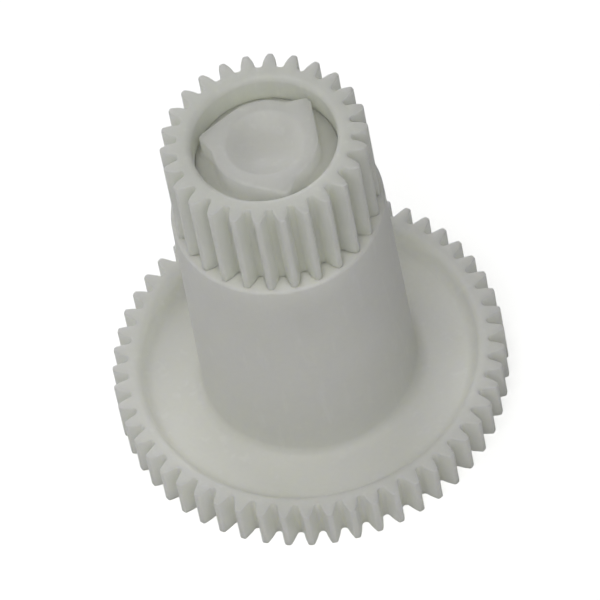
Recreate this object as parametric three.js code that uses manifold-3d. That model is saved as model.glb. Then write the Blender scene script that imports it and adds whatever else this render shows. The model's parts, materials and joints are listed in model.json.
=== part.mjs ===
// Compound drive gear with a spring-loaded claw coupling.
//
// A large spur gear and a tall barrel are one moulding. A pinion plugs into the mouth of the barrel, and a
// coupling with three claws slides like a piston in the pinion's pocket, where a spring holds it out.
// Units are millimetres, +Z is up. The origin is the centre of the large gear's lower face, and the gear's
// axis is +Z. Each gear has one tooth centred on +Y.

import * as THREE from 'three';
import { mergeVertices } from 'three/addons/utils/BufferGeometryUtils.js';
import Module from 'manifold-3d';

const wasm = await Module();
wasm.setup();

// ---------------------------------------------------------------------------------------------------------
// Driving dimensions
// ---------------------------------------------------------------------------------------------------------

// Both gears share one tooth system: full-depth involute teeth.
const MODULE = 0.8;
const PRESSURE_ANGLE = THREE.MathUtils.degToRad(20);
const ADDENDUM = 1.0 * MODULE;
const DEDENDUM = 1.2 * MODULE;
const TIP_ROUND = 0.15 * MODULE;

const WHEEL = { teeth: 53, shift: 0, faceWidth: 5.6, turn: 0 };
const PINION = { teeth: 26, shift: 0.08, faceWidth: 12.5, turn: THREE.MathUtils.degToRad(0.9) };

const TOTAL_HEIGHT = 46.7;
const SHOULDER_Z = TOTAL_HEIGHT - PINION.faceWidth;

// The wheel: a toothed rim around a thin web that is recessed on both sides. The rim's inner walls slope.
const RIM_EDGE_RADIUS = 19.0;
const RIM_FOOT_RADIUS = 18.6;
const WEB_RECESS = 2.1;
const WEB_BOTTOM_Z = WEB_RECESS;
const WEB_TOP_Z = WHEEL.faceWidth - WEB_RECESS;

// The barrel tapers a little, as a moulding has to.
const BARREL_BASE_RADIUS = 12.1;
const BARREL_TOP_RADIUS = 11.7;
const BARREL_FILLET = 1.2;
const BARREL_EDGE = 0.25;
const MOUTH_RADIUS = 9.45;
const MOUTH_BOTTOM_Z = 25.9;
const CAVITY_TOP_RADIUS = 9.2;
const CAVITY_BOTTOM_RADIUS = 8.9;
const CAVITY_FLOOR_Z = 2.6;
const UNDER_BOSS_RADIUS = 10.4;

// A tube inside the barrel holds the two bearing bushes.
const TUBE_OUTER_RADIUS = 7.7;
const TUBE_BORE_RADIUS = 6.0;
const TUBE_TOP_Z = 18;
const BUSH_BORE_RADIUS = 4.0;
const BUSH_LENGTH = 6.5;
const FLANGE_RADIUS = 7.2;
const FLANGE_THICKNESS = 1.0;

// The pinion's plug goes down into the barrel's mouth, and two keys under its teeth stop it turning there.
const PLUG_RADIUS = 9.4;
const PLUG_BOTTOM_Z = 26.2;
const PINION_FLOOR = 2.6;
const POCKET_RADIUS = 7.9;
const POCKET_EDGE = 0.6;
const POCKET_FLOOR_Z = PLUG_BOTTOM_Z + PINION_FLOOR;
const KEY_WIDTH = 1.2;
const KEY_REACH = 10.1;
const KEY_BOTTOM_Z = PLUG_BOTTOM_Z + 1;

// The coupling: a piston that fills the pocket, a head with three claws and a bowl, and a stem with flats.
const COUPLING_RECESS = 0.8;
const HEAD_TOP_Z = TOTAL_HEIGHT - COUPLING_RECESS;
const HEAD_HEIGHT = 2.7;
const PISTON_TOP_Z = HEAD_TOP_Z - HEAD_HEIGHT;
const PISTON_THICKNESS = 2.2;
const PISTON_BOTTOM_Z = PISTON_TOP_Z - PISTON_THICKNESS;
const PISTON_CLEARANCE = 0.06;
const HEAD_RADIUS = 5.75;
const CLAW_COUNT = 3;
const CLAW_REACH = 4.85;
const CLAW_CORNER = 0.7;
const BOWL_RADIUS = 4.3;
const BOWL_DEPTH = 1.7;
const STEM_RADIUS = 3.2;
const STEM_FLAT = 2.4;
const STEM_BOTTOM_Z = 22.8;
const STEM_CLEARANCE = 0.08;

// The pieces on the stem, from the pocket floor down to the clip.
const SEAT_INNER_RADIUS = 3.6;
const SEAT_OUTER_RADIUS = 6.6;
const SEAT_THICKNESS = 0.75;
const SPRING_WIRE_RADIUS = 0.35;
const SPRING_RADIUS = 4.55;
const SPRING_TURNS = 6.5;
const WASHER_INNER_RADIUS = 3.3;
const WASHER_OUTER_RADIUS = 5.8;
const WASHER_THICKNESS = 0.8;
const CLIP_OUTER_RADIUS = 4.6;
const CLIP_THICKNESS = 0.6;
const CLIP_HALF_OPENING = THREE.MathUtils.degToRad(38);
const GROOVE_RADIUS = 2.1;

// Clearances: between faces that rest on each other, and around pieces that are pressed or slid in.
const REST_GAP = 0.05;
const PRESS_GAP = 0.03;

const SEAT_BOTTOM_Z = POCKET_FLOOR_Z + REST_GAP;
const SPRING_BOTTOM_Z = SEAT_BOTTOM_Z + SEAT_THICKNESS + REST_GAP;
const SPRING_TOP_Z = PISTON_BOTTOM_Z - REST_GAP;
const WASHER_BOTTOM_Z = PLUG_BOTTOM_Z - REST_GAP - WASHER_THICKNESS;
const CLIP_BOTTOM_Z = WASHER_BOTTOM_Z - REST_GAP - CLIP_THICKNESS;

// How finely round surfaces are divided, and the coarse six-sided spring wire.
const LARGE_ROUND = 72;
const SMALL_ROUND = 36;
const WIRE_SIDES = 6;
const WIRE_STEPS_PER_TURN = 18;

// How far solids of one moulding reach into each other, and how far a cutting solid reaches past the surface.
const JOIN = 0.3;
const CUT_PAST = 1;

// ---------------------------------------------------------------------------------------------------------
// Materials
// ---------------------------------------------------------------------------------------------------------

const acetal = () => new THREE.MeshStandardMaterial({ color: 0xd9d9cf, roughness: 0.42, metalness: 0 });
const springSteel = () => new THREE.MeshStandardMaterial({ color: 0x9a9a98, roughness: 0.3, metalness: 1 });
const sinteredBronze = () => new THREE.MeshStandardMaterial({ color: 0x9c7b4a, roughness: 0.55, metalness: 1 });

// ---------------------------------------------------------------------------------------------------------
// Solids: closed meshes for joining and cutting
// ---------------------------------------------------------------------------------------------------------

/** Keeps only the corners that differ, and the triangles that have an area. */
function solid(geometry) {
  geometry.deleteAttribute('normal');
  geometry.deleteAttribute('uv');
  const merged = mergeVertices(geometry, 1e-4);
  const corners = merged.index.array;
  const triangles = [];
  for (let i = 0; i < corners.length; i += 3) {
    const [a, b, c] = [corners[i], corners[i + 1], corners[i + 2]];
    if (a !== b && b !== c && c !== a) triangles.push(a, b, c);
  }
  return new wasm.Manifold(new wasm.Mesh({
    numProp: 3,
    vertProperties: new Float32Array(merged.attributes.position.array),
    triVerts: new Uint32Array(triangles),
  }));
}

/** Turns a joined or cut solid into a named mesh. */
function namedMesh(name, shape, material) {
  const { vertProperties, triVerts } = shape.getMesh();
  const geometry = new THREE.BufferGeometry();
  geometry.setAttribute('position', new THREE.BufferAttribute(vertProperties, 3));
  geometry.setIndex(new THREE.BufferAttribute(triVerts, 1));
  geometry.computeVertexNormals();
  const mesh = new THREE.Mesh(geometry, material);
  mesh.name = name;
  return mesh;
}

/** A solid of revolution about +Z from [radius, z] points that run anticlockwise and close on themselves. */
function turned(profile, segments) {
  const points = [...profile, profile[0]].map(([radius, z]) => new THREE.Vector2(radius, z));
  return solid(new THREE.LatheGeometry(points, segments).rotateX(Math.PI / 2));
}

/** A flat shape pushed up from one height to another. */
function raised(shape, bottomZ, topZ, curveSegments = SMALL_ROUND) {
  const options = { depth: topZ - bottomZ, bevelEnabled: false, curveSegments };
  return solid(new THREE.ExtrudeGeometry(shape, options).translate(0, 0, bottomZ));
}

/** A flat ring, such as a washer. */
function ring(innerRadius, outerRadius, bottomZ, topZ, segments) {
  return turned(
    [[innerRadius, bottomZ], [outerRadius, bottomZ], [outerRadius, topZ], [innerRadius, topZ]],
    segments,
  );
}

/** A key-shaped block that points outward from the axis at an angle. */
function keyBlock(angle, width, innerRadius, outerRadius, bottomZ, topZ) {
  const block = new THREE.BoxGeometry(outerRadius - innerRadius, width, topZ - bottomZ);
  block.translate((innerRadius + outerRadius) / 2, 0, (bottomZ + topZ) / 2);
  return solid(block.rotateZ(angle));
}

/** Points along an arc, from one angle to another, in [radius, z] or [x, y]. */
function arc(centreX, centreY, radius, startAngle, endAngle, steps) {
  return Array.from({ length: steps + 1 }, (_, i) => {
    const angle = startAngle + ((endAngle - startAngle) * i) / steps;
    return [centreX + radius * Math.cos(angle), centreY + radius * Math.sin(angle)];
  });
}

/** A round bar with two flats, seen from its end. */
function twoFlatShape(radius, flat) {
  const corner = Math.asin(flat / radius);
  const right = arc(0, 0, radius, -corner, corner, 8);
  const left = arc(0, 0, radius, Math.PI - corner, Math.PI + corner, 8);
  return new THREE.Shape([...right, ...left].map(([x, y]) => new THREE.Vector2(x, y)));
}

// ---------------------------------------------------------------------------------------------------------
// Gear teeth
// ---------------------------------------------------------------------------------------------------------

const involute = (angle) => Math.tan(angle) - angle;
const tipRadius = ({ teeth, shift }) => (MODULE * teeth) / 2 + ADDENDUM + shift * MODULE;
const rootRadius = ({ teeth, shift }) => (MODULE * teeth) / 2 - DEDENDUM + shift * MODULE;

/** Half the angle that one tooth covers at a radius. */
function halfToothAngle({ teeth, shift }, radius) {
  const baseRadius = ((MODULE * teeth) / 2) * Math.cos(PRESSURE_ANGLE);
  const atPitchCircle = Math.PI / (2 * teeth) + (2 * shift * Math.tan(PRESSURE_ANGLE)) / teeth;
  const angleAtRadius = Math.acos(Math.min(1, baseRadius / radius));
  return atPitchCircle + involute(PRESSURE_ANGLE) - involute(angleAtRadius);
}

/** The gear's outline, with one tooth centred on +Y plus the gear's own turn. */
function gearShape(gear) {
  const root = rootRadius(gear);
  const tip = tipRadius(gear);
  const middle = (2 * root + tip) / 3;
  const flank = [root, middle, tip - TIP_ROUND].map((radius) => [radius, -halfToothAngle(gear, radius)]);
  const crown = [tip, TIP_ROUND / tip - halfToothAngle(gear, tip)];
  const half = [...flank, crown];
  const tooth = [...half, ...half.map(([radius, offset]) => [radius, -offset]).reverse()];
  const outline = [];
  for (let i = 0; i < gear.teeth; i += 1) {
    const centre = Math.PI / 2 + gear.turn + (i * 2 * Math.PI) / gear.teeth;
    tooth.forEach(([radius, offset]) => {
      outline.push(new THREE.Vector2(radius * Math.cos(centre + offset), radius * Math.sin(centre + offset)));
    });
  }
  return new THREE.Shape(outline);
}

/** A toothed ring with a round hole through it. */
function toothedRing(gear, holeRadius, bottomZ, topZ, segments) {
  const shape = gearShape(gear);
  const hole = new THREE.Path().setFromPoints(
    arc(0, 0, holeRadius, 0, -2 * Math.PI * (1 - 1 / segments), segments - 1)
      .map(([x, y]) => new THREE.Vector2(x, y)),
  );
  shape.holes.push(hole);
  return raised(shape, bottomZ, topZ);
}

// ---------------------------------------------------------------------------------------------------------
// Pieces
// ---------------------------------------------------------------------------------------------------------

const keyAngles = [Math.PI / 2 + PINION.turn, (3 * Math.PI) / 2 + PINION.turn];

/** The wheel, its web, the barrel and the bush tube: one moulding. */
function mainGear() {
  const intoRim = RIM_EDGE_RADIUS + 2 * JOIN;
  const filletCentre = BARREL_BASE_RADIUS + BARREL_FILLET;
  const body = turned([
    [TUBE_BORE_RADIUS, FLANGE_THICKNESS + REST_GAP],
    [FLANGE_RADIUS + REST_GAP, FLANGE_THICKNESS + REST_GAP],
    [FLANGE_RADIUS + REST_GAP, 0],
    [UNDER_BOSS_RADIUS, 0],
    [UNDER_BOSS_RADIUS, WEB_BOTTOM_Z],
    [RIM_FOOT_RADIUS, WEB_BOTTOM_Z],
    [RIM_EDGE_RADIUS, 0],
    [intoRim, 0],
    [intoRim, WHEEL.faceWidth],
    [RIM_EDGE_RADIUS, WHEEL.faceWidth],
    [RIM_FOOT_RADIUS, WEB_TOP_Z],
    ...arc(filletCentre, WEB_TOP_Z + BARREL_FILLET, BARREL_FILLET, -Math.PI / 2, -Math.PI, 4),
    [BARREL_TOP_RADIUS, SHOULDER_Z - BARREL_EDGE],
    [BARREL_TOP_RADIUS - BARREL_EDGE, SHOULDER_Z],
    [MOUTH_RADIUS, SHOULDER_Z],
    [MOUTH_RADIUS, MOUTH_BOTTOM_Z],
    [CAVITY_TOP_RADIUS, MOUTH_BOTTOM_Z],
    [CAVITY_BOTTOM_RADIUS, CAVITY_FLOOR_Z],
    [TUBE_OUTER_RADIUS, CAVITY_FLOOR_Z],
    [TUBE_OUTER_RADIUS, TUBE_TOP_Z],
    [TUBE_BORE_RADIUS, TUBE_TOP_Z],
  ], LARGE_ROUND);
  const rim = toothedRing(WHEEL, RIM_EDGE_RADIUS + JOIN, 0, WHEEL.faceWidth, LARGE_ROUND);
  const side = KEY_WIDTH + 2 * REST_GAP;
  const slots = keyAngles.map((angle) => (
    keyBlock(angle, side, CAVITY_BOTTOM_RADIUS, KEY_REACH + REST_GAP, MOUTH_BOTTOM_Z, SHOULDER_Z + CUT_PAST)
  ));
  const shape = slots.reduce((gear, slot) => gear.subtract(slot), body.add(rim));
  return namedMesh('main_gear', shape, acetal());
}

/** The pinion: teeth around a deep round pocket, above a plug with a floor that guides the stem. */
function pinionGear() {
  const seatZ = SHOULDER_Z + REST_GAP;
  const insideTeeth = rootRadius(PINION) - JOIN;
  const teeth = toothedRing(PINION, insideTeeth - JOIN, seatZ, TOTAL_HEIGHT, LARGE_ROUND);
  const cup = turned([
    [0, PLUG_BOTTOM_Z],
    [PLUG_RADIUS - BARREL_EDGE, PLUG_BOTTOM_Z],
    [PLUG_RADIUS, PLUG_BOTTOM_Z + BARREL_EDGE],
    [PLUG_RADIUS, seatZ],
    [insideTeeth, seatZ],
    [insideTeeth, TOTAL_HEIGHT],
    [POCKET_RADIUS + POCKET_EDGE, TOTAL_HEIGHT],
    [POCKET_RADIUS, TOTAL_HEIGHT - POCKET_EDGE],
    [POCKET_RADIUS, POCKET_FLOOR_Z],
    [0, POCKET_FLOOR_Z],
  ], LARGE_ROUND);
  const stemHole = raised(
    twoFlatShape(STEM_RADIUS + STEM_CLEARANCE, STEM_FLAT + STEM_CLEARANCE),
    PLUG_BOTTOM_Z - CUT_PAST,
    POCKET_FLOOR_Z + CUT_PAST,
  );
  const keys = keyAngles.map((angle) => (
    keyBlock(angle, KEY_WIDTH, POCKET_RADIUS + JOIN, KEY_REACH, KEY_BOTTOM_Z, seatZ + JOIN)
  ));
  const shape = keys.reduce((pinion, key) => pinion.add(key), teeth.add(cup)).subtract(stemHole);
  return namedMesh('pinion_gear', shape, acetal());
}

/** One claw of the coupling: a flat that leaves the round head at a tangent and ends in a drive face. */
function clawShape() {
  const corner = arc(HEAD_RADIUS - CLAW_CORNER, CLAW_REACH - CLAW_CORNER, CLAW_CORNER, 0, Math.PI / 2, 3);
  const outline = [[0, 0], [HEAD_RADIUS, 0], ...corner, [0, CLAW_REACH]];
  return new THREE.Shape(outline.map(([x, y]) => new THREE.Vector2(x, y)));
}

/** The coupling: piston, head, claws and stem in one piece. */
function driveCoupling() {
  const grooveBottomZ = CLIP_BOTTOM_Z - REST_GAP;
  const grooveTopZ = CLIP_BOTTOM_Z + CLIP_THICKNESS + REST_GAP;
  const bowlSphere = (BOWL_RADIUS ** 2 + BOWL_DEPTH ** 2) / (2 * BOWL_DEPTH);
  const bowlHalfAngle = Math.asin(BOWL_RADIUS / bowlSphere);
  const bowlCentreZ = HEAD_TOP_Z - BOWL_DEPTH + bowlSphere;
  const piston = ring(0, POCKET_RADIUS - PISTON_CLEARANCE, PISTON_BOTTOM_Z, PISTON_TOP_Z, LARGE_ROUND);
  const headFootZ = PISTON_TOP_Z - JOIN;
  const head = ring(0, HEAD_RADIUS, headFootZ, HEAD_TOP_Z, LARGE_ROUND);
  const bowl = turned([
    ...arc(0, bowlCentreZ, bowlSphere, -Math.PI / 2, -Math.PI / 2 + bowlHalfAngle, 5),
    [BOWL_RADIUS, HEAD_TOP_Z + CUT_PAST],
    [0, HEAD_TOP_Z + CUT_PAST],
  ], LARGE_ROUND);
  const stem = raised(twoFlatShape(STEM_RADIUS, STEM_FLAT), STEM_BOTTOM_Z, PISTON_BOTTOM_Z + JOIN);
  const groove = ring(GROOVE_RADIUS, STEM_RADIUS + CUT_PAST, grooveBottomZ, grooveTopZ, SMALL_ROUND);
  let shape = piston.add(head).add(stem).subtract(groove);
  for (let i = 0; i < CLAW_COUNT; i += 1) {
    const angle = (i * 360) / CLAW_COUNT;
    shape = shape.add(raised(clawShape(), headFootZ, HEAD_TOP_Z).rotate([0, 0, angle]));
  }
  return namedMesh('drive_coupling', shape.subtract(bowl), acetal());
}

/** The compression spring between its seat on the pocket floor and the coupling's piston. */
function couplingSpring() {
  const bottomZ = SPRING_BOTTOM_Z + SPRING_WIRE_RADIUS;
  const rise = SPRING_TOP_Z - SPRING_WIRE_RADIUS - bottomZ;
  class Helix extends THREE.Curve {
    getPoint(t) {
      const angle = 2 * Math.PI * SPRING_TURNS * t;
      return new THREE.Vector3(
        SPRING_RADIUS * Math.cos(angle),
        SPRING_RADIUS * Math.sin(angle),
        bottomZ + rise * t,
      );
    }
  }
  const lastCorner = 2 * Math.PI * (1 - 1 / WIRE_SIDES);
  const wireRing = arc(0, 0, SPRING_WIRE_RADIUS, 0, lastCorner, WIRE_SIDES - 1);
  const wire = new THREE.Shape(wireRing.map(([x, y]) => new THREE.Vector2(x, y)));
  const steps = SPRING_TURNS * WIRE_STEPS_PER_TURN;
  const options = { steps, extrudePath: new Helix(), bevelEnabled: false };
  return namedMesh('coupling_spring', solid(new THREE.ExtrudeGeometry(wire, options)), springSteel());
}

/** The steel ring that the spring stands on. */
function springSeat() {
  const topZ = SEAT_BOTTOM_Z + SEAT_THICKNESS;
  const shape = ring(SEAT_INNER_RADIUS, SEAT_OUTER_RADIUS, SEAT_BOTTOM_Z, topZ, SMALL_ROUND);
  return namedMesh('spring_seat', shape, springSteel());
}

/** The washer between the clip and the underside of the pinion's floor. */
function stemWasher() {
  const topZ = WASHER_BOTTOM_Z + WASHER_THICKNESS;
  const shape = ring(WASHER_INNER_RADIUS, WASHER_OUTER_RADIUS, WASHER_BOTTOM_Z, topZ, SMALL_ROUND);
  return namedMesh('stem_washer', shape, springSteel());
}

/** The open clip that sits in the stem's groove and stops the coupling from coming out. */
function stemClip() {
  const innerRadius = GROOVE_RADIUS + REST_GAP;
  const end = 2 * Math.PI - CLIP_HALF_OPENING;
  const outer = arc(0, 0, CLIP_OUTER_RADIUS, CLIP_HALF_OPENING, end, 24);
  const inner = arc(0, 0, innerRadius, end, CLIP_HALF_OPENING, 18);
  const shape = new THREE.Shape([...outer, ...inner].map(([x, y]) => new THREE.Vector2(x, y)));
  return namedMesh('stem_clip', raised(shape, CLIP_BOTTOM_Z, CLIP_BOTTOM_Z + CLIP_THICKNESS), springSteel());
}

/** The flanged bearing bush at the foot of the gear, flush with its lower face. */
function lowerBush() {
  const outerRadius = TUBE_BORE_RADIUS - PRESS_GAP;
  const shape = turned([
    [BUSH_BORE_RADIUS, 0],
    [FLANGE_RADIUS, 0],
    [FLANGE_RADIUS, FLANGE_THICKNESS],
    [outerRadius, FLANGE_THICKNESS],
    [outerRadius, BUSH_LENGTH],
    [BUSH_BORE_RADIUS, BUSH_LENGTH],
  ], LARGE_ROUND);
  return namedMesh('lower_bush', shape, sinteredBronze());
}

/** The plain bearing bush at the top of the tube. */
function upperBush() {
  const bottomZ = TUBE_TOP_Z - BUSH_LENGTH;
  const shape = ring(BUSH_BORE_RADIUS, TUBE_BORE_RADIUS - PRESS_GAP, bottomZ, TUBE_TOP_Z, LARGE_ROUND);
  return namedMesh('upper_bush', shape, sinteredBronze());
}

// ---------------------------------------------------------------------------------------------------------
// The assembly: what turns as one, and the coupling that slides in it
// ---------------------------------------------------------------------------------------------------------

const gearBody = new THREE.Group();
gearBody.add(mainGear(), pinionGear(), lowerBush(), upperBush(), springSeat(), couplingSpring());

const couplingBody = new THREE.Group();
couplingBody.add(driveCoupling(), stemWasher(), stemClip());

const group = new THREE.Group();
group.add(gearBody, couplingBody);

export default group;
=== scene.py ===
"""Looks of the compound drive gear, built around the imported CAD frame.

Every piece is one closed mesh made of loops: rings of points, each joined to the next. All loops of a
piece have the same number of points, so a toothed loop can follow a round one. Lengths are in metres. Sizes
and places come from the frame's nodes, and roundings and fineness are set here.
"""

import json
import math

import bmesh
import bpy
import numpy as np
from mathutils import Matrix, Vector


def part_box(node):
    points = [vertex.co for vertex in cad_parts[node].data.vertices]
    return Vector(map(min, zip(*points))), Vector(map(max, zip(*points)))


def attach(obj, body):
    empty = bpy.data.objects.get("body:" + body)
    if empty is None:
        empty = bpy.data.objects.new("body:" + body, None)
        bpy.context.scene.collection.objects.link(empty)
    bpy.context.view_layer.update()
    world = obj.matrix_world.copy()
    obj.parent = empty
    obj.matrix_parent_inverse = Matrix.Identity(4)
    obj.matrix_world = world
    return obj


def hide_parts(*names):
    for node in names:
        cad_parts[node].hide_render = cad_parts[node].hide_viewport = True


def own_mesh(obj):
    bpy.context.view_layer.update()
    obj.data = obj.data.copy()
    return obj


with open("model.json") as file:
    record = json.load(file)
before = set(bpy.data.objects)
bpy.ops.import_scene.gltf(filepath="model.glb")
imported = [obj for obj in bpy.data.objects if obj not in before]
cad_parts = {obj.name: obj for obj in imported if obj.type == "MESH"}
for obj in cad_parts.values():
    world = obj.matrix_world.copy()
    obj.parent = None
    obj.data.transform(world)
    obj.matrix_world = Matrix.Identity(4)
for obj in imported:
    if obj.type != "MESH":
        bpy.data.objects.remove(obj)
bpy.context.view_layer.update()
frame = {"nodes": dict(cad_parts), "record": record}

# One millimetre, and how close two places in the CAD model are that count as one.
MM = 0.001
SAME_PLACE = 0.01 * MM

# ----------------------------------------------------------------------------------------------------------
# Sizes, read from the frame
# ----------------------------------------------------------------------------------------------------------


def places(node):
    """The corners of a CAD node, one x, y, z row each."""
    return np.array([v.co for v in frame["nodes"][node].data.vertices])


def distinct(values):
    """Sorted values without those that lie next to the value before."""
    ordered = np.sort(values)
    return ordered[np.insert(np.diff(ordered) > 2 * SAME_PLACE, 0, True)]


def levels(node):
    """The heights at which a CAD node has corners, lowest first."""
    return distinct(places(node)[:, 2])


def radii(node, z):
    """The radii of a CAD node's corners at one height, smallest first."""
    here = places(node)
    here = here[abs(here[:, 2] - z) < SAME_PLACE]
    return distinct(np.hypot(here[:, 0], here[:, 1]))


GEAR_LEVELS = levels("main_gear")
FLANGE_SEAT_Z, WEB_BOTTOM_Z, CAVITY_FLOOR_Z, WEB_TOP_Z = GEAR_LEVELS[1:5]
MOUTH_BOTTOM_Z, BARREL_EDGE_Z, SHOULDER_Z = GEAR_LEVELS[-3:]
TUBE_TOP_Z = levels("upper_bush")[-1]

WHEEL_TIP = radii("main_gear", 0)[-1]
FLANGE_SEAT, UNDER_BOSS, RIM_EDGE = radii("main_gear", 0)[:3]
FACE_WIDTH = max(z for z in GEAR_LEVELS if radii("main_gear", z)[-1] > RIM_EDGE)
BARREL_FOOT_Z = max(z for z in GEAR_LEVELS if z < FACE_WIDTH)
BARREL_BASE = radii("main_gear", BARREL_FOOT_Z)[-1]
BARREL_TOP = radii("main_gear", BARREL_EDGE_Z)[-1]
RIM_FOOT = radii("main_gear", WEB_TOP_Z)[-1]
TUBE_BORE, TUBE_OUTER = radii("main_gear", TUBE_TOP_Z)[[0, -1]]
CAVITY_FOOT = radii("main_gear", CAVITY_FLOOR_Z)[-1]
CAVITY_TOP, MOUTH, KEYWAY = radii("main_gear", MOUTH_BOTTOM_Z)[[0, -2, -1]]

PINION_LEVELS = levels("pinion_gear")
PLUG_BOTTOM_Z, PLUG_EDGE_Z, KEY_BOTTOM_Z, POCKET_FLOOR_Z, SEAT_Z = PINION_LEVELS[:5]
TOTAL_Z = PINION_LEVELS[-1]
PINION_TIP = radii("pinion_gear", TOTAL_Z)[-1]
STEM_HOLE = radii("pinion_gear", PLUG_BOTTOM_Z)[0]
POCKET = radii("pinion_gear", POCKET_FLOOR_Z)[-1]
PLUG = radii("pinion_gear", PLUG_EDGE_Z)[-1]
KEY = radii("pinion_gear", KEY_BOTTOM_Z)[-1]
REST_GAP = SEAT_Z - SHOULDER_Z

COUPLING = places("drive_coupling")
COUPLING_LEVELS = levels("drive_coupling")
STEM_BOTTOM_Z, GROOVE_BOTTOM_Z, GROOVE_TOP_Z, PISTON_BOTTOM_Z, PISTON_TOP_Z, BOWL_Z = COUPLING_LEVELS[:6]
HEAD_TOP_Z = COUPLING_LEVELS[-1]
GROOVE, STEM = radii("drive_coupling", GROOVE_TOP_Z)[[0, -1]]
STEM_FLAT = max(COUPLING[COUPLING[:, 2] < GROOVE_TOP_Z][:, 1])
PISTON = radii("drive_coupling", PISTON_BOTTOM_Z)[-1]
BOWL = radii("drive_coupling", HEAD_TOP_Z)[0]
HEAD_CORNERS = COUPLING[COUPLING[:, 2] > HEAD_TOP_Z - SAME_PLACE]
HEAD = max(HEAD_CORNERS[:, 0])
FIRST_CLAW = HEAD_CORNERS[HEAD_CORNERS[:, 0] > 0.8 * HEAD]
CLAW_REACH = max(FIRST_CLAW[:, 1])
CLAW_COUNT = 3
CLAW_CORNER = CLAW_REACH - max(FIRST_CLAW[FIRST_CLAW[:, 0] > HEAD - SAME_PLACE][:, 1])

# Both gears share one tooth system. The inset keeps the finished teeth just inside the CAD teeth.
TIP_INSET = 0.004 * MM
PRESSURE_ANGLE = math.radians(20)
WHEEL = {"teeth": 53, "tip": WHEEL_TIP, "shift": 0.0, "turn": 0.0}
PINION = {"teeth": 26, "tip": PINION_TIP, "shift": 0.08, "turn": math.radians(0.9)}
MODULE = WHEEL_TIP / (WHEEL["teeth"] / 2 + 1)
WHOLE_DEPTH = 2.2 * MODULE
ROOT_ROUND = 0.38 * MODULE
TIP_ROUND = 0.2 * MODULE
POINTS_PER_TOOTH = 24

# The two keys under the pinion's teeth stick out along the pinion's own Y axis. Across them is its X axis.
ACROSS_KEYS = np.array([math.cos(PINION["turn"]), math.sin(PINION["turn"])])
PINION_CORNERS = places("pinion_gear")
KEY_FOOT = PINION_CORNERS[abs(PINION_CORNERS[:, 2] - KEY_BOTTOM_Z) < SAME_PLACE][:, :2]
KEY_ENDS = KEY_FOOT[np.hypot(KEY_FOOT[:, 0], KEY_FOOT[:, 1]) > (PLUG + KEY) / 2]
KEY_WIDTH = 2 * max(abs(KEY_ENDS @ ACROSS_KEYS))

# Roundings that show. Smaller ones stand beside their corners, in the profiles.
WEB_FILLET = 1.0 * MM
RIM_ROUND = 0.8 * MM
POCKET_ROUND = 0.8 * MM
SHOULDER_ROUND = 0.35 * MM
COUPLING_ROUND = 0.35 * MM
WHEEL_TOOTH_EDGE = 0.14 * MM
PINION_TOOTH_EDGE = 0.16 * MM
PINION_FOOT_EDGE = 0.04 * MM

# ----------------------------------------------------------------------------------------------------------
# Loops: rings of points that a mesh is made of
# ----------------------------------------------------------------------------------------------------------


def unit(vectors):
    """Vectors of length one in the same directions."""
    return vectors / np.linalg.norm(vectors, axis=-1, keepdims=True)


def corner_round(start, corner, end, steps):
    """Points on a quarter ellipse from start to end that is tangent there to the lines to the corner."""
    start, corner, end = (np.array(point) for point in (start, corner, end))
    turn = np.linspace(0, math.pi / 2, steps + 1)[:, None]
    return start + (corner - start) * np.sin(turn) + (end - corner) * (1 - np.cos(turn))


def rounded(corners):
    """A profile with rounds. A corner is (radius, z, size of round).

    The first and the last corner only give the direction of the profile's ends and aren't part of it.
    """
    small_round = 0.3 * MM
    points = []
    for before, (radius, z, size), after in zip(corners, corners[1:], corners[2:]):
        corner = np.array([radius, z])
        start = corner + size * unit(np.array(before[:2]) - corner)
        end = corner + size * unit(np.array(after[:2]) - corner)
        if size == 0:
            points.append(corner[None])
        elif size < small_round:
            points.append(corner_round(start, corner, end, 2))
        else:
            points.append(corner_round(start, corner, end, 4))
    return np.concatenate(points)


def even_angles(count, first=0.0):
    """Angles that divide the full turn evenly."""
    return first + 2 * math.pi * np.arange(count) / count


def around(angles, radius, z):
    """A loop at one height. The radius is one number, or one for each angle."""
    return np.column_stack([radius * np.cos(angles), radius * np.sin(angles), np.full(len(angles), z)])


def turned(angles, corners):
    """Loops of a surface of revolution with a rounded profile."""
    return [around(angles, radius, z) for radius, z in rounded(corners)]


def raised(outline, z):
    """A loop that follows an x, y outline at one height."""
    return np.column_stack([outline, np.full(len(outline), z)])


def inset(outline, depth):
    """A closed outline, anticlockwise, moved inwards."""
    ahead = unit(np.roll(outline, -1, axis=0) - outline)
    along = unit(ahead + np.roll(ahead, 1, axis=0))
    outward = np.column_stack([along[:, 1], -along[:, 0]])
    return outline - depth * outward


def top_edge(outline, z, size):
    """Loops over the rounded edge from a top face at height z down to the side."""
    return [
        raised(inset(outline, size * (1 - math.sin(turn))), z - size * (1 - math.cos(turn)))
        for turn in np.linspace(0, math.pi / 2, 4)
    ]


def bottom_edge(outline, z, size):
    """Loops over the rounded edge from the side down to a bottom face at height z."""
    return [loop * (1, 1, -1) for loop in reversed(top_edge(outline, -z, size))]


def two_flats(angles, radius, flat):
    """The radius, at each angle, of a round bar with two flats that face +Y and -Y."""
    almost_zero = 1e-6
    return np.minimum(radius, flat / np.maximum(abs(np.sin(angles)), almost_zero))


def widened(loops, radius, width):
    """The loops, carried out to a radius where they pass the two keys under the pinion's teeth."""
    result = []
    for loop in loops:
        in_key = abs(loop[:, :2] @ ACROSS_KEYS) < width / 2
        reach = np.where(in_key, radius / np.hypot(loop[:, 0], loop[:, 1]), 1)
        result.append(loop * np.column_stack([reach, reach, np.ones(len(loop))]))
    return result


# ----------------------------------------------------------------------------------------------------------
# Gear teeth
# ----------------------------------------------------------------------------------------------------------


def involute(angle):
    """The involute function of a pressure angle."""
    return np.tan(angle) - angle


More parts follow.
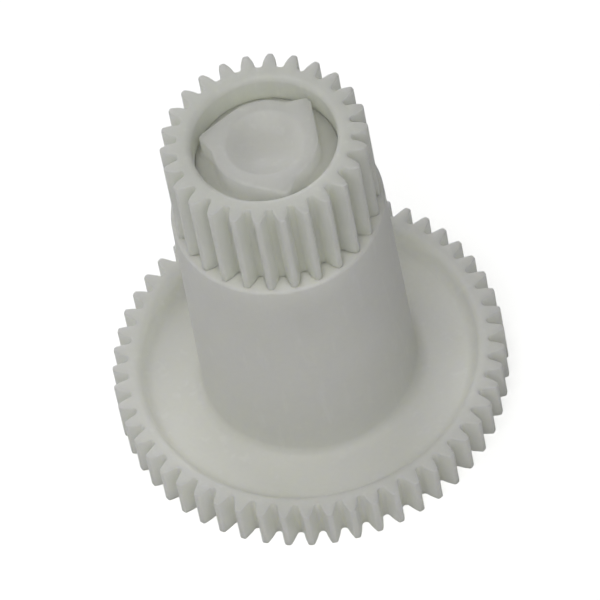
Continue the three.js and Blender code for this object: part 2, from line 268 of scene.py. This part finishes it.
def flank(gear, radius):
    """Points on a tooth's first flank: radius, and angle from the tooth's middle."""
    pitch = MODULE * gear["teeth"] / 2
    shift = 2 * gear["shift"] * math.tan(PRESSURE_ANGLE)
    half_at_pitch = (math.pi / 2 + shift) / gear["teeth"]
    pressure = np.arccos(np.minimum(1, pitch * math.cos(PRESSURE_ANGLE) / radius))
    return np.column_stack([radius, involute(pressure) - involute(PRESSURE_ANGLE) - half_at_pitch])


def tooth(gear):
    """One tooth, from the middle of the gap before it, as radii and angles from its middle."""
    tip = gear["tip"] - TIP_INSET
    root = gear["tip"] - WHOLE_DEPTH
    half_pitch = math.pi / gear["teeth"]
    foot = root + ROOT_ROUND
    shoulder = tip - TIP_ROUND
    at_root, at_foot, at_shoulder, at_tip = flank(gear, np.array([root, foot, shoulder, tip]))
    rising = np.concatenate([
        [(root, -half_pitch)],
        corner_round(at_root - (0, ROOT_ROUND / root), at_root, at_foot, 3),
        flank(gear, np.linspace(foot, shoulder, 5)[1:-1]),
        corner_round(at_shoulder, at_tip, at_tip + (0, TIP_ROUND / tip), 3),
        [(tip, 0)],
    ])
    falling = rising[-2:0:-1] * (1, -1)
    return np.concatenate([rising, falling])


def gear_outline(gear):
    """The outline of all teeth as x, y points, with one tooth centred on +Y plus the gear's own turn."""
    radius, offset = np.tile(tooth(gear), (gear["teeth"], 1)).T
    middles = even_angles(gear["teeth"], math.pi / 2 + gear["turn"])
    angle = np.repeat(middles, POINTS_PER_TOOTH) + offset
    return np.column_stack([radius * np.cos(angle), radius * np.sin(angle)])


def gear_angles(gear):
    """Even angles for a gear's round loops, one for each point of its outline."""
    first_gap = math.pi / 2 + gear["turn"] - math.pi / gear["teeth"]
    return even_angles(gear["teeth"] * POINTS_PER_TOOTH, first_gap)


# ----------------------------------------------------------------------------------------------------------
# Meshes
# ----------------------------------------------------------------------------------------------------------


def joined(loops, ring):
    """Vertices and faces of joined loops.

    In a ring the last loop meets the first. Otherwise a fan of triangles closes each end.
    """
    count = len(loops[0])
    vertices = np.concatenate(loops)
    index = np.arange(len(vertices)).reshape(len(loops), count)
    following = np.roll(index, -1, axis=1)
    upper = np.roll(index, -1, axis=0) if ring else index[1:]
    upper_following = np.roll(upper, -1, axis=1)
    lower = index[:len(upper)]
    lower_following = following[:len(upper)]
    quads = np.stack([lower, lower_following, upper_following, upper], axis=-1).reshape(-1, 4).tolist()
    if ring:
        return vertices, quads
    ends = [loops[0].mean(axis=0), loops[-1].mean(axis=0)]
    fans = []
    for middle, loop in ((len(vertices), index[0]), (len(vertices) + 1, index[-1])):
        fans += [(middle, a, b) for a, b in zip(loop.tolist(), np.roll(loop, -1).tolist())]
    return np.concatenate([vertices, ends]), quads + fans


def piece(name, node, body, material, loops, ring=True):
    """A finished piece from its loops. It rides on a body and stands for a CAD node."""
    same_point = 0.0002 * MM
    vertices, faces = joined(loops, ring)
    mesh = bpy.data.meshes.new(name)
    mesh.from_pydata(vertices.tolist(), [], faces)
    shape = bmesh.new()
    shape.from_mesh(mesh)
    bmesh.ops.remove_doubles(shape, verts=shape.verts, dist=same_point)
    bmesh.ops.recalc_face_normals(shape, faces=shape.faces)
    shape.to_mesh(mesh)
    shape.free()
    mesh.shade_smooth()
    mesh.materials.append(material)
    made = bpy.data.objects.new(name, mesh)
    bpy.context.scene.collection.objects.link(made)
    normals = made.modifiers.new("flat_faces_stay_flat", "WEIGHTED_NORMAL")
    normals.keep_sharp = True
    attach(made, body)
    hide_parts(node)
    return made


# ----------------------------------------------------------------------------------------------------------
# Pieces
# ----------------------------------------------------------------------------------------------------------


def wheel_and_barrel_loops():
    """The wheel, its web, the barrel and the tube for the bushes: one moulding."""
    angles = gear_angles(WHEEL)
    outline = gear_outline(WHEEL)
    under = turned(angles, [
        (WHEEL_TIP, 0, 0),
        (RIM_EDGE, 0, 0.3 * MM),
        (RIM_FOOT, WEB_BOTTOM_Z, 0.4 * MM),
        (UNDER_BOSS, WEB_BOTTOM_Z, 0.4 * MM),
        (UNDER_BOSS, 0, 0.2 * MM),
        (FLANGE_SEAT, 0, 0.1 * MM),
        (FLANGE_SEAT, FLANGE_SEAT_Z, 0),
        (TUBE_BORE, FLANGE_SEAT_Z, 0.1 * MM),
        (TUBE_BORE, TUBE_TOP_Z, 0.15 * MM),
        (TUBE_OUTER, TUBE_TOP_Z, 0.25 * MM),
        (TUBE_OUTER, CAVITY_FLOOR_Z, 0.25 * MM),
        (CAVITY_FOOT, CAVITY_FLOOR_Z, 0.25 * MM),
        (CAVITY_TOP, MOUTH_BOTTOM_Z, 0.1 * MM),
        (MOUTH, MOUTH_BOTTOM_Z, 0),
    ])
    mouth = turned(angles, [
        (CAVITY_TOP, MOUTH_BOTTOM_Z, 0),
        (MOUTH, MOUTH_BOTTOM_Z, 0),
        (MOUTH, SHOULDER_Z, 0.05 * MM),
        (BARREL_TOP, SHOULDER_Z, 0),
    ])
    above = turned(angles, [
        (MOUTH, SHOULDER_Z, 0),
        (BARREL_TOP, SHOULDER_Z, SHOULDER_ROUND),
        (BARREL_BASE, WEB_TOP_Z, BARREL_FOOT_Z - WEB_TOP_Z),
        (RIM_FOOT, WEB_TOP_Z, WEB_FILLET),
        (RIM_EDGE, FACE_WIDTH, RIM_ROUND),
        (WHEEL_TIP, FACE_WIDTH, 0),
    ])
    keyways = widened(mouth, KEYWAY, KEY_WIDTH + 2 * REST_GAP)
    teeth = top_edge(outline, FACE_WIDTH, WHEEL_TOOTH_EDGE) + bottom_edge(outline, 0, WHEEL_TOOTH_EDGE)
    return under + keyways + above + teeth


def pinion_loops():
    """The pinion: teeth around a deep pocket, and a plug below them with a hole for the stem."""
    angles = gear_angles(PINION)
    outline = gear_outline(PINION)
    lead_in = 0.15 * MM
    hole = two_flats(angles, STEM_HOLE, STEM_FLAT + STEM_HOLE - STEM)
    plug = turned(angles, [
        (STEM_HOLE, PLUG_BOTTOM_Z, 0),
        (PLUG, PLUG_BOTTOM_Z, PLUG_EDGE_Z - PLUG_BOTTOM_Z),
        (PLUG, KEY_BOTTOM_Z, 0),
        (PLUG, SEAT_Z, 0),
    ])
    keys = widened([around(angles, PLUG, z) for z in (KEY_BOTTOM_Z, SEAT_Z)], KEY, KEY_WIDTH)
    foot_edge = bottom_edge(outline, SEAT_Z, PINION_FOOT_EDGE)[::-1]
    end_edge = top_edge(outline, TOTAL_Z, PINION_TOOTH_EDGE)[::-1]
    pocket = turned(angles, [
        (PINION_TIP, TOTAL_Z, 0),
        (POCKET, TOTAL_Z, POCKET_ROUND),
        (POCKET, POCKET_FLOOR_Z, 0.4 * MM),
        (STEM_HOLE, POCKET_FLOOR_Z, 0),
    ])
    hole_loops = [
        around(angles, hole + lead_in, POCKET_FLOOR_Z),
        around(angles, hole, POCKET_FLOOR_Z - lead_in),
        around(angles, hole, PLUG_BOTTOM_Z + lead_in),
        around(angles, hole + lead_in, PLUG_BOTTOM_Z),
    ]
    return plug + keys + foot_edge + end_edge + pocket + hole_loops


def claw_outline():
    """The head's outline: for each claw a tangent flat, a rounded tip and a drive face, and then an arc."""
    part = 2 * math.pi / CLAW_COUNT
    notch = 0.35 * MM
    face_end = math.sqrt(HEAD ** 2 - CLAW_REACH ** 2)
    past_notch = math.atan2(CLAW_REACH, face_end) + notch / HEAD
    head_start = (HEAD * math.cos(past_notch), HEAD * math.sin(past_notch))
    tip_start = (HEAD, CLAW_REACH - CLAW_CORNER)
    tip_end = (HEAD - CLAW_CORNER, CLAW_REACH)
    head_angles = np.linspace(past_notch, part, 21)[:-1]
    one_part = np.concatenate([
        np.linspace((HEAD, 0), tip_start, 9)[:-1],
        corner_round(tip_start, (HEAD, CLAW_REACH), tip_end, 6),
        corner_round((face_end + notch, CLAW_REACH), (face_end, CLAW_REACH), head_start, 4)[:-1],
        np.column_stack([HEAD * np.cos(head_angles), HEAD * np.sin(head_angles)]),
    ])
    turns = [Matrix.Rotation(i * part, 2) for i in range(CLAW_COUNT)]
    return np.concatenate([one_part @ np.array(turn).T for turn in turns])


def stem_loops(angles):
    """The coupling's stem, from its foot past the clip's groove to a fillet under the piston."""
    def stem(z, growth=0.0):
        return around(angles, two_flats(angles, STEM + growth, STEM_FLAT + growth), z)

    foot = [
        stem(STEM_BOTTOM_Z, -COUPLING_ROUND),
        stem(STEM_BOTTOM_Z + COUPLING_ROUND),
        stem(GROOVE_BOTTOM_Z),
    ]
    groove = [
        around(angles, GROOVE, GROOVE_BOTTOM_Z),
        around(angles, GROOVE, GROOVE_TOP_Z),
        stem(GROOVE_TOP_Z),
    ]
    root_z = PISTON_BOTTOM_Z
    fillet = corner_round((0, root_z - COUPLING_ROUND), (0, root_z), (COUPLING_ROUND, root_z), 3)
    return foot + groove + [stem(z, growth) for growth, z in fillet]


def head_loops(outline):
    """The head with its claws, from a fillet on the piston to the rounded edge of its end face."""
    root_z = PISTON_TOP_Z
    fillet = corner_round((COUPLING_ROUND, root_z), (0, root_z), (0, root_z + COUPLING_ROUND), 4)
    root = [raised(inset(outline, -growth), z) for growth, z in fillet]
    return root + top_edge(outline, HEAD_TOP_Z, COUPLING_ROUND)[::-1]


def bowl_loops(angles):
    """The bowl in the head's end face: a part of a sphere with a rounded edge."""
    edge = 0.25 * MM
    depth = HEAD_TOP_Z - BOWL_Z
    sphere = (BOWL ** 2 + depth ** 2) / (2 * depth)
    slopes = np.linspace(math.asin(BOWL / sphere) - edge / sphere, 0, 10)[:-1]
    bowl = np.column_stack([sphere * np.sin(slopes), BOWL_Z + sphere * (1 - np.cos(slopes))])
    bowl_edge = corner_round((BOWL + edge, HEAD_TOP_Z), (BOWL, HEAD_TOP_Z), bowl[0], 4)[:-1]
    return [around(angles, radius, z) for radius, z in np.concatenate([bowl_edge, bowl])]


def claw_coupling_loops():
    """The coupling, from the foot of its stem to the bowl in its head."""
    outline = claw_outline()
    angles = np.arctan2(outline[:, 1], outline[:, 0])
    piston = turned(angles, [
        (STEM, PISTON_BOTTOM_Z, 0),
        (PISTON, PISTON_BOTTOM_Z, 0.15 * MM),
        (PISTON, PISTON_TOP_Z, 0.15 * MM),
        (HEAD, PISTON_TOP_Z, 0),
    ])
    return stem_loops(angles) + piston + head_loops(outline) + bowl_loops(angles)


def ring_loops(corners):
    """A turned ring from the corners of its section."""
    points_around = 144
    return turned(even_angles(points_around), [corners[-1], *corners, corners[0]])


def washer_loops(node):
    """A stamped washer in the place of its CAD node, more rounded on its upper side."""
    low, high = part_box(node)
    inner, outer = radii(node, low.z)
    return ring_loops([
        (inner, low.z, 0.05 * MM),
        (outer, low.z, 0.05 * MM),
        (outer, high.z, 0.18 * MM),
        (inner, high.z, 0.18 * MM),
    ])


def bush_loops(node):
    """A bearing bush with rounded ends. At its lower end there may be a flange."""
    end_round = 0.3 * MM
    flange_round = 0.15 * MM
    low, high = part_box(node)
    bore, foot = radii(node, low.z)[[0, -1]]
    sleeve = radii(node, high.z)[-1]
    has_flange = foot > sleeve + MM / 2
    if has_flange:
        flange_top = levels(node)[1]
        lower_end = [
            (foot, low.z, flange_round),
            (foot, flange_top, flange_round),
            (sleeve, flange_top, 0.1 * MM),
        ]
    else:
        lower_end = [(foot, low.z, end_round)]
    return ring_loops([
        (bore, low.z, end_round),
        *lower_end,
        (sleeve, high.z, end_round),
        (bore, high.z, end_round),
    ])


def bent(section, angle):
    """A loop that stands upright: a radius, z section at one angle around the axis."""
    radius, z = section.T
    return np.column_stack([radius * math.cos(angle), radius * math.sin(angle), z])


def clip_loops():
    """The open clip: a rounded strip bent around the stem, from one of its ends to the other."""
    edge = 0.12 * MM
    steps = 90
    low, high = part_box("stem_clip")
    corners = places("stem_clip")
    radius = np.hypot(corners[:, 0], corners[:, 1])
    opening = min(abs(np.arctan2(corners[:, 1], corners[:, 0])))
    middle = np.array([(radius.min() + radius.max()) / 2, (low.z + high.z) / 2])
    half = np.array([radius.max() - radius.min(), high.z - low.z]) / 2
    sides = [np.array(side) for side in ((-1, -1), (1, -1), (1, 1), (-1, 1))]

    def section(shrink):
        points = [(*(side * (half - shrink)), edge) for side in sides]
        return middle + rounded([points[-1], *points, points[0]])

    first_end = [
        (opening + edge * (1 - math.cos(turn)) / middle[0], edge * (1 - math.sin(turn)))
        for turn in np.linspace(0, math.pi / 2, 4)
    ]
    last_end = [(2 * math.pi - angle, shrink) for angle, shrink in reversed(first_end)]
    strip = [(angle, 0) for angle in np.linspace(first_end[-1][0], last_end[0][0], steps)[1:-1]]
    return [bent(section(shrink), angle) for angle, shrink in first_end + strip + last_end]


def spring_loops():
    """The spring: round wire with a closed coil at each end, ground flat where it stands."""
    turns = 7.5
    loops_per_turn = 44
    points_around_wire = 16
    low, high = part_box("coupling_spring")
    corners = places("coupling_spring")
    radius = np.hypot(corners[:, 0], corners[:, 1])
    wire = (radius.max() - radius.min()) / 2
    coil = (radius.max() + radius.min()) / 2
    ground = 0.5 * wire
    closed = 2.05 * wire
    first_z = low.z + wire - ground
    rise = high.z - low.z - 2 * (wire - ground)
    section = even_angles(points_around_wire)
    loops = []
    for turn in np.linspace(0, turns, int(turns * loops_per_turn)):
        climbed = np.interp(turn, [0, 1, turns - 1, turns], [0, closed, rise - closed, rise])
        height = np.clip(first_z + climbed + wire * np.sin(section), low.z, high.z)
        loops.append(bent(np.column_stack([coil + wire * np.cos(section), height]), 2 * math.pi * turn))
    return loops


# ----------------------------------------------------------------------------------------------------------
# Materials
# ----------------------------------------------------------------------------------------------------------

SLOT_COLOURS = {entry["slot"]: entry["base_color"] for entry in frame["record"]["materials"]}

# Factors that make a colour from the record a little yellower, as acetal looks.
YELLOWED = (1.0, 1.008, 0.963)


def add(tree, kind, inputs=(), **settings):
    """A new node. Its inputs are values or other nodes' outputs; settings are the node's own properties."""
    node = tree.nodes.new(kind)
    for name, value in settings.items():
        setattr(node, name, value)
    for name, value in dict(inputs).items():
        if isinstance(value, bpy.types.NodeSocket):
            tree.links.new(value, node.inputs[name])
        else:
            node.inputs[name].default_value = value
    return node


def calculate(tree, operation, first, second=0.0):
    """The result of a sum or another operation on one or two values."""
    return add(tree, "ShaderNodeMath", {0: first, 1: second}, operation=operation).outputs[0]


def between(tree, value, low, high, start=0.0, end=1.0):
    """A value from start to end turned into one from low to high, and never past them."""
    inputs = {"Value": value, "From Min": start, "From Max": end, "To Min": low, "To Max": high}
    return add(tree, "ShaderNodeMapRange", inputs).outputs["Result"]


def noise(tree, vector, feature, detail=2.0):
    """Noise from 0 to 1 whose features are about the given size."""
    inputs = {"Vector": vector, "Scale": 1 / feature, "Detail": detail}
    return add(tree, "ShaderNodeTexNoise", inputs).outputs["Fac"]


def scaled(tree, vector, scale):
    """Coordinates times a factor for each axis. The larger the factor, the smaller the pattern."""
    return add(tree, "ShaderNodeMapping", {"Vector": vector, "Scale": scale}).outputs["Vector"]


def shade(tree, colour, strength):
    """A colour made lighter or darker by a factor."""
    first_colour, second_colour, mixed_colour = 6, 7, 2
    inputs = {"Factor": 1.0, first_colour: (*colour, 1), second_colour: strength}
    mix = add(tree, "ShaderNodeMix", inputs, data_type="RGBA", blend_type="MULTIPLY")
    return mix.outputs[mixed_colour]


def new_material(name):
    """A material, its tree emptied of nodes, and the object's own coordinates in that tree."""
    material = bpy.data.materials.new(name)
    material.use_nodes = True
    tree = material.node_tree
    tree.nodes.clear()
    return material, tree, add(tree, "ShaderNodeTexCoord").outputs["Object"]


def finish_material(tree, inputs):
    """The surface, with these inputs, on the material's output."""
    surface = add(tree, "ShaderNodeBsdfPrincipled", inputs).outputs["BSDF"]
    add(tree, "ShaderNodeOutputMaterial", {"Surface": surface})


def tool_marks(tree, place):
    """Marks that a mould leaves: fine lines along the axis on upright walls, fine rings on level faces."""
    normal = add(tree, "ShaderNodeSeparateXYZ", {0: add(tree, "ShaderNodeNewGeometry").outputs["Normal"]})
    level = calculate(tree, "ABSOLUTE", normal.outputs["Z"])
    parts = add(tree, "ShaderNodeSeparateXYZ", {0: place}).outputs
    flat_place = add(tree, "ShaderNodeCombineXYZ", {"X": parts["X"], "Y": parts["Y"]}).outputs[0]
    radius = add(tree, "ShaderNodeVectorMath", {0: flat_place}, operation="LENGTH").outputs["Value"]
    ring_place = add(tree, "ShaderNodeCombineXYZ", {"X": radius}).outputs[0]
    rings = noise(tree, ring_place, 0.35 * MM, 3)
    lines = noise(tree, scaled(tree, place, (1, 1, 0.02)), 0.3 * MM, 3)
    inputs = {"Factor": level, "A": lines, "B": rings}
    return add(tree, "ShaderNodeMix", inputs).outputs[0]


def wander(tree, place, dense_z, least, most):
    """How far light wanders inside acetal: least at the dense heights, and up to most away from them.

    The dense heights are those where two pieces meet or the shape turns sharply, and light would be lost.
    """
    reach = 4 * MM
    height = add(tree, "ShaderNodeSeparateXYZ", {0: place}).outputs["Z"]
    away = reach
    for z in dense_z:
        distance = calculate(tree, "ABSOLUTE", calculate(tree, "SUBTRACT", height, z))
        away = calculate(tree, "MINIMUM", away, distance)
    return between(tree, away, least, most, end=reach)


def acetal(slot, whiteness, dense_z, least, most):
    """Natural acetal as moulded: satin and milky, with faint clouds, specks, scuffs and mould marks."""
    material, tree, place = new_material(slot)
    colour = [whiteness * tint * part for tint, part in zip(YELLOWED, SLOT_COLOURS[slot])]
    clouds = noise(tree, place, 9 * MM, 3)
    specks = noise(tree, place, 0.5 * MM, 2)
    marks = tool_marks(tree, place)
    strokes = noise(tree, scaled(tree, place, (1, 1, 0.2)), 1.3 * MM, 4)
    scuffs = between(tree, strokes, 0.99, 1.03, start=0.58, end=0.7)
    strength = calculate(tree, "MULTIPLY", between(tree, clouds, 0.95, 1.03), scuffs)
    strength = calculate(tree, "MULTIPLY", strength, between(tree, specks, 0.98, 1.02))
    relief = calculate(tree, "ADD", calculate(tree, "MULTIPLY", specks, 0.5), marks)
    bump = add(tree, "ShaderNodeBump", {"Height": relief, "Strength": 0.5, "Distance": 0.03 * MM})
    finish_material(tree, {
        "Base Color": shade(tree, colour, strength),
        "Roughness": between(tree, calculate(tree, "MULTIPLY", clouds, marks), 0.36, 0.56),
        "IOR": 1.48,
        "Subsurface Weight": 1.0,
        "Subsurface Radius": (1.0, 1.0, 1.15),
        "Subsurface Scale": wander(tree, place, dense_z, least, most),
        "Normal": bump.outputs["Normal"],
    })
    return material


def steel(name, colour, roughness, stretch):
    """Bright steel with fine scratches. They get shorter along an axis as its stretch grows."""
    material, tree, place = new_material(name)
    scratches = noise(tree, scaled(tree, place, stretch), 0.08 * MM, 4)
    stains = noise(tree, place, 2.5 * MM, 3)
    dents = noise(tree, place, 0.25 * MM, 2)
    relief = calculate(tree, "ADD", calculate(tree, "MULTIPLY", scratches, 0.4), dents)
    bump = add(tree, "ShaderNodeBump", {"Height": relief, "Strength": 0.4, "Distance": 0.01 * MM})
    wear = calculate(tree, "MULTIPLY", scratches, stains)
    finish_material(tree, {
        "Base Color": shade(tree, colour, between(tree, stains, 0.85, 1.1)),
        "Metallic": 1.0,
        "Roughness": between(tree, wear, roughness, roughness + 0.3),
        "Normal": bump.outputs["Normal"],
    })
    return material


def sintered_bronze(name, colour):
    """Bronze pressed from powder: dull, full of tiny dark pores and stained with oil."""
    material, tree, place = new_material(name)
    inputs = {"Vector": place, "Scale": 1 / (0.22 * MM), "Randomness": 1.0}
    grains = add(tree, "ShaderNodeTexVoronoi", inputs).outputs["Distance"]
    pores = between(tree, grains, 0.0, 1.0, start=0.1, end=0.32)
    oil = noise(tree, place, 3 * MM, 3)
    strength = calculate(tree, "MULTIPLY", between(tree, pores, 0.55, 1.0), between(tree, oil, 0.75, 1.15))
    bump = add(tree, "ShaderNodeBump", {"Height": pores, "Strength": 0.5, "Distance": 0.02 * MM})
    finish_material(tree, {
        "Base Color": shade(tree, colour, strength),
        "Metallic": 0.9,
        "Roughness": between(tree, oil, 0.35, 0.6),
        "Normal": bump.outputs["Normal"],
    })
    return material


# ----------------------------------------------------------------------------------------------------------
# The assembly
# ----------------------------------------------------------------------------------------------------------

gear_acetal = acetal("gear_acetal", 1.18, (SHOULDER_Z, WEB_TOP_Z), 0.9 * MM, 3 * MM)
pinion_acetal = acetal("pinion_acetal", 1.09, (SHOULDER_Z,), 0.9 * MM, 2.5 * MM)
coupling_acetal = acetal("coupling_acetal", 1.18, (PISTON_TOP_Z,), 4 * MM, 9 * MM)
wire_steel = steel("drawn_wire", SLOT_COLOURS["spring_steel"], 0.22, (1, 1, 6))
sheet_steel = steel("tumbled_sheet", SLOT_COLOURS["washer_steel"], 0.3, (1, 0.2, 1))
bronze = sintered_bronze("sintered_bronze", SLOT_COLOURS["bush_bronze"])

piece("wheel_and_barrel", "main_gear", "gear", gear_acetal, wheel_and_barrel_loops())
piece("pinion", "pinion_gear", "gear", pinion_acetal, pinion_loops())
piece("claw_coupling", "drive_coupling", "coupling", coupling_acetal, claw_coupling_loops(), ring=False)
spring = piece("spring", "coupling_spring", "gear", wire_steel, spring_loops(), ring=False)
piece("spring_ring", "spring_seat", "gear", sheet_steel, washer_loops("spring_seat"))
piece("washer", "stem_washer", "coupling", sheet_steel, washer_loops("stem_washer"))
piece("clip", "stem_clip", "coupling", sheet_steel, clip_loops(), ring=False)
piece("flanged_bush", "lower_bush", "gear", bronze, bush_loops("lower_bush"))
piece("plain_bush", "upper_bush", "gear", bronze, bush_loops("upper_bush"))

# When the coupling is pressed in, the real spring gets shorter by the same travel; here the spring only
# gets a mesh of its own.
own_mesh(spring)

# ----------------------------------------------------------------------------------------------------------
# Stage: floor, light and camera
# ----------------------------------------------------------------------------------------------------------


def pale_floor(glow, lift):
    """A wide pale floor that glows a little, looks lighter by a lift, and can't be seen from below."""
    material, tree, place = new_material("pale_floor")
    mottle = noise(tree, place, 40 * MM, 3)
    from_camera = add(tree, "ShaderNodeLightPath").outputs["Is Camera Ray"]
    paint = add(tree, "ShaderNodeBsdfPrincipled", {
        "Base Color": shade(tree, (0.93, 0.93, 0.92), between(tree, mottle, 0.98, 1.0)),
        "Roughness": 0.8,
        "Emission Color": (1, 1, 1, 1),
        "Emission Strength": between(tree, from_camera, glow, glow + lift),
    }).outputs["BSDF"]
    clear = add(tree, "ShaderNodeBsdfTransparent").outputs["BSDF"]
    from_below = add(tree, "ShaderNodeNewGeometry").outputs["Backfacing"]
    hidden = calculate(tree, "MULTIPLY", from_camera, from_below)
    surface = add(tree, "ShaderNodeMixShader", {0: hidden, 1: paint, 2: clear}).outputs[0]
    add(tree, "ShaderNodeOutputMaterial", {"Surface": surface})
    half = 100 * WHEEL_TIP
    gap = 0.01 * MM
    mesh = bpy.data.meshes.new("floor")
    corners = [(-half, -half, 0), (half, -half, 0), (half, half, 0), (-half, half, 0)]
    mesh.from_pydata(corners, [], [(0, 1, 2, 3)])
    mesh.materials.append(material)
    floor = bpy.data.objects.new("floor", mesh)
    floor.location.z = -gap
    bpy.context.scene.collection.objects.link(floor)


def pale_surroundings(light, brightness):
    """Faint even light from all around, which looks brighter than it is."""
    world = bpy.data.worlds.new("studio")
    world.use_nodes = True
    tree = world.node_tree
    from_camera = add(tree, "ShaderNodeLightPath").outputs["Is Camera Ray"]
    strength = between(tree, from_camera, light, brightness)
    background = tree.nodes["Background"]
    background.inputs["Color"].default_value = (1, 1, 1, 1)
    tree.links.new(strength, background.inputs["Strength"])
    bpy.context.scene.world = world


def soft_light(name, azimuth, elevation, strength):
    """A wide square light that faces the object's middle. Azimuth 0 is +X, and 90 degrees is +Y."""
    middle = Vector((0, 0, TOTAL_Z / 2))
    azimuth, elevation = math.radians(azimuth), math.radians(elevation)
    towards = Vector((
        math.cos(azimuth) * math.cos(elevation),
        math.sin(azimuth) * math.cos(elevation),
        math.sin(elevation),
    ))
    distance = 14 * WHEEL_TIP
    lamp = bpy.data.lights.new(name, "AREA")
    lamp.size = 10 * WHEEL_TIP
    lamp.energy = strength * distance ** 2
    light = bpy.data.objects.new(name, lamp)
    light.location = middle + towards * distance
    light.rotation_euler = towards.to_track_quat("Z", "Y").to_euler()
    bpy.context.scene.collection.objects.link(light)


def camera():
    """A long lens that looks down on the gear from the front, turned a little about its own axis.

    It aims to the left of and above the centre of the wheel's lower face, as seen in the picture.
    """
    elevation = math.radians(54.75)
    roll = math.radians(-11.67)
    distance = 39.2 * WHEEL_TIP
    frame_width = 3.056 * WHEEL_TIP
    aim_right = -0.0705 * WHEEL_TIP
    aim_up = 0.41 * WHEEL_TIP
    level = Vector((1, 0, 0))
    forward = Vector((0, math.cos(elevation), -math.sin(elevation)))
    upright = level.cross(forward)
    right = math.cos(roll) * level + math.sin(roll) * upright
    up = math.cos(roll) * upright - math.sin(roll) * level
    place = right * aim_right + up * aim_up - forward * distance
    data = bpy.data.cameras.new("camera")
    data.sensor_width = 36
    data.lens = data.sensor_width * distance / frame_width
    data.clip_end = 2 * distance
    made = bpy.data.objects.new("camera", data)
    made.matrix_world = Matrix.Translation(place) @ Matrix((right, up, -forward)).transposed().to_4x4()
    bpy.context.scene.collection.objects.link(made)
    bpy.context.scene.camera = made


pale_floor(glow=0.045, lift=0.58)
pale_surroundings(light=0.01, brightness=1.0)
soft_light("high_left", 240, 60, 2.67)
soft_light("high_right", 300, 60, 1.69)
soft_light("low_front", 270, 25, 0.6)
soft_light("low_back", 90, 25, 2.62)
soft_light("low_back_left", 150, 25, 1.39)
bpy.context.scene.view_settings.view_transform = "Standard"
camera()
